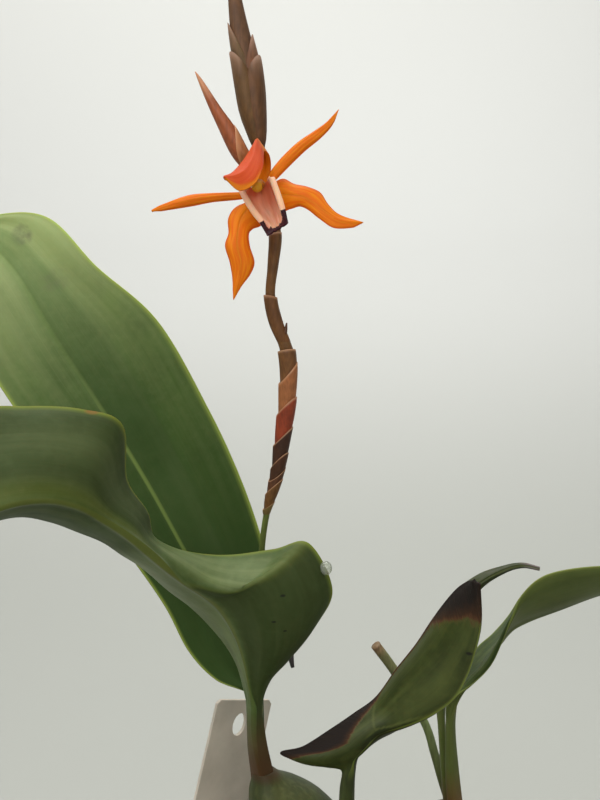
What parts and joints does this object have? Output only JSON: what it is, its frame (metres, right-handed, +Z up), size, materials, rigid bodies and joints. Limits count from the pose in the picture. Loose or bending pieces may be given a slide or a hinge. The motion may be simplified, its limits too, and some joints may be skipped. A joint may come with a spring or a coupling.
{
  "type": "potted orchid",
  "caption": "Small flowering orchid with folded and scorched leaves, pseudobulbs, a scaly flower stem with one orange flower, and a blank label, growing in a plain round nursery pot",
  "frame": {"origin": "middle of the pot's flat underside", "axes": "+Z up along the pot's axis, -Y is the side that the flower faces, +X is to the right seen from that side"},
  "size_m": [0.1677, 0.108, 0.2788],
  "materials": {
    "pot": "plain dark moulded plastic, softly matt",
    "bark": "rough bark chips, dry and matt",
    "rhizome": "fibrous creeping stem and roots, dull tan",
    "pseudobulb": "smooth waxy olive-green skin with faint ribs",
    "leaf_upper": "glossy mid-green leaf with fine parallel veins and a pale midrib",
    "leaf_folded": "pale bluish-green leaf underside with an olive keel band, semi-gloss",
    "leaf_burnt": "green leaf with brown-black scorched margins and tip",
    "leaf_dark": "dark olive to bluish-green leaf, semi-gloss",
    "old_stalk": "dull green-brown cut leaf stalk",
    "flower_stem": "stem wrapped in papery scales, tan through coral red to dark brown",
    "bud_spike": "purplish-brown overlapping bud scales with pale edges",
    "side_bud": "smooth salmon-brown closed bud",
    "pedicel": "smooth orange-brown flower stalk",
    "column": "waxy yellow-olive cap",
    "hood": "thin coral-orange petal, softly sheened",
    "tepal": "thin orange petal with yellower veins, softly sheened",
    "lip": "thin peach-pink petal with dark maroon tips",
    "label": "blank beige-grey plastic slip, matt"
  },
  "bodies": {
    "root": {"pot": "pot", "growing_medium": "bark", "rhizome_with_roots": "rhizome", "pseudobulb_front_left": "pseudobulb", "pseudobulb_front_right": "pseudobulb", "pseudobulb_back_right": "pseudobulb", "leaf_back": "leaf_upper", "leaf_front": "leaf_folded", "leaf_burnt": "leaf_burnt", "leaf_right": "leaf_dark", "leaf_slim": "leaf_dark", "old_stalk": "old_stalk", "flower_stem": "flower_stem", "bud_spike": "bud_spike", "side_bud": "side_bud", "pedicel": "pedicel", "column": "column", "dorsal_sepal": "hood", "petal_left": "tepal", "petal_right": "tepal", "lateral_sepal_left": "tepal", "lateral_sepal_right": "tepal", "lip": "lip", "label": "label"}
  },
  "joints": []
}
